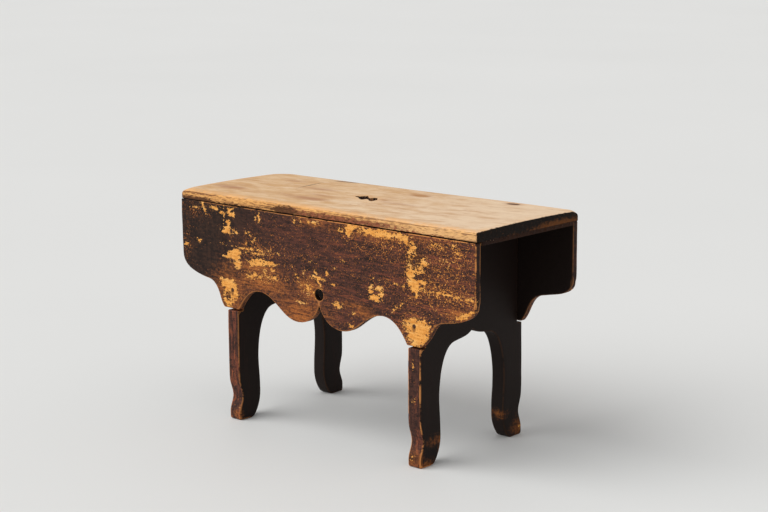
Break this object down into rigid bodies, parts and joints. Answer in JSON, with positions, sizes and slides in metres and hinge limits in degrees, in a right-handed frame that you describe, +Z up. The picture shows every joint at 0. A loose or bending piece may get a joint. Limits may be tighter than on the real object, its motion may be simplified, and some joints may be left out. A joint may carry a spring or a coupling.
{
  "type": "low wooden stool",
  "caption": "Low board-built wooden stool: worn plank seat on arched leg boards, with scalloped aprons nailed along the long sides.",
  "frame": {"origin": "on the floor, under the middle of the stool", "axes": "+X along the seat to the right as seen from the show side, -Y out of the front apron, +Z up"},
  "size_m": [0.562, 0.218, 0.333],
  "materials": {
    "worn_pine": "bare pine, worn smooth, honey coloured",
    "apron_paint": "old dark red-brown paint on pine, chipped to yellow ochre wood",
    "leg_paint": "old dark brown paint on pine, rubbed on the arrises and feet",
    "nail_iron": "dark rusted iron"
  },
  "bodies": {
    "root": {"seat_board": "worn_pine", "front_apron": "apron_paint", "rear_apron": "apron_paint", "left_leg_board": "leg_paint", "right_leg_board": "leg_paint", "front_apron_nail_left_1": "nail_iron", "front_apron_nail_left_2": "nail_iron", "front_apron_nail_left_3": "nail_iron", "front_apron_nail_right_1": "nail_iron", "front_apron_nail_right_2": "nail_iron", "front_apron_nail_right_3": "nail_iron", "rear_apron_nail_left_1": "nail_iron", "rear_apron_nail_left_2": "nail_iron", "rear_apron_nail_left_3": "nail_iron", "rear_apron_nail_right_1": "nail_iron", "rear_apron_nail_right_2": "nail_iron", "rear_apron_nail_right_3": "nail_iron", "seat_nail_left_1": "nail_iron", "seat_nail_left_2": "nail_iron", "seat_nail_left_3": "nail_iron", "seat_nail_right_1": "nail_iron", "seat_nail_right_2": "nail_iron", "seat_nail_right_3": "nail_iron"}
  },
  "joints": []
}
